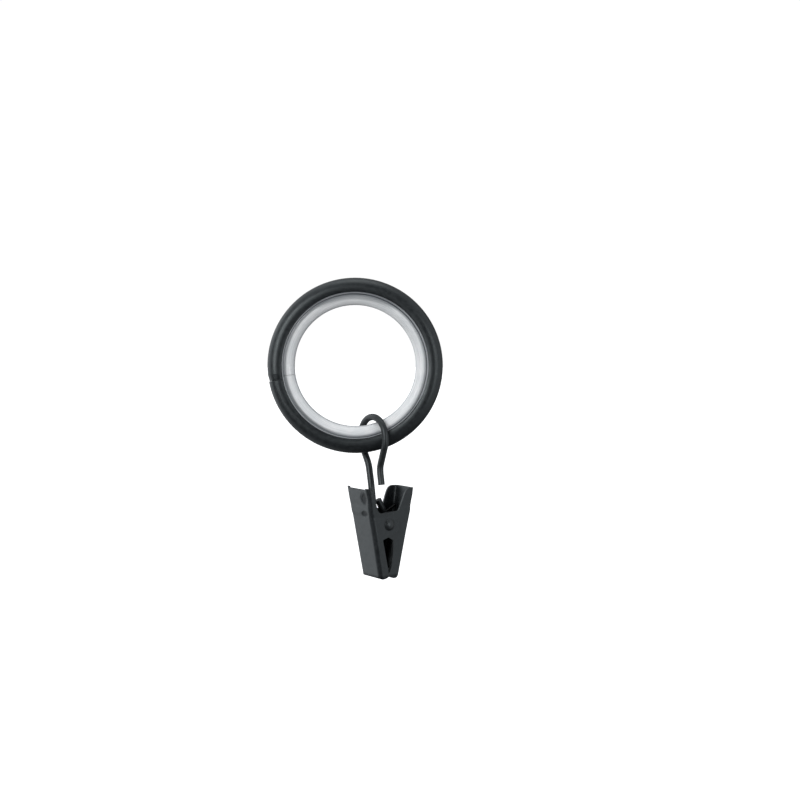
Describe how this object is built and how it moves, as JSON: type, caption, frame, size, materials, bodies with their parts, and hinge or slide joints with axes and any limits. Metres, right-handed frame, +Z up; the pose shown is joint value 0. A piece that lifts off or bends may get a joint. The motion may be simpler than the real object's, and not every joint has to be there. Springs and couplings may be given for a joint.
{
  "type": "curtain ring with clip",
  "caption": "Steel curtain ring with a plastic liner and a wire hook that carries a sprung two-jaw clip for the curtain's top edge.",
  "frame": {"origin": "centre of the ring, on the rod's line when the ring is centred on it", "axes": "+Y along the curtain rod, +Z up, +X to the right in the picture; the hook and the clip hang below the ring along -Z, turned 38.5 degrees about Z"},
  "size_m": [0.055, 0.0194, 0.0946],
  "materials": {
    "ring_black": "satin black coating over rolled steel sheet",
    "liner_plastic": "translucent white plastic, smooth",
    "wire_black": "satin black coating over steel wire",
    "clip_black": "satin black coating over folded steel sheet",
    "rivet_black": "satin black coating over a steel rivet",
    "spring_steel": "dark oiled spring wire"
  },
  "bodies": {
    "ring": {"ring_shell": "ring_black", "ring_liner": "liner_plastic"},
    "hook": {"hook": "wire_black"},
    "clip_inner": {"inner_jaw": "clip_black"},
    "clip_outer": {"outer_jaw": "clip_black", "rivet": "rivet_black", "spring": "spring_steel"}
  },
  "joints": [
    {"name": "hook_swing", "type": "hinge", "parent": "ring", "child": "hook", "pos_m": [0.00558, -0.00008, -0.0224], "axis": [0.7826, 0.6225, 0], "range_deg": [-45, 45]},
    {"name": "clip_swing", "type": "hinge", "parent": "hook", "child": "clip_outer", "pos_m": [0.0074, 0.00149, -0.0498], "axis": [-0.6225, 0.7826, 0], "range_deg": [-14, 16]},
    {"name": "jaw_open", "type": "hinge", "parent": "clip_outer", "child": "clip_inner", "pos_m": [0.0074, 0.00149, -0.0498], "axis": [0.6225, -0.7826, 0], "range_deg": [0, 25], "stiffness_Nm_per_rad": 0.14, "springref_deg": -16.62, "deforming": ["spring"]}
  ]
}
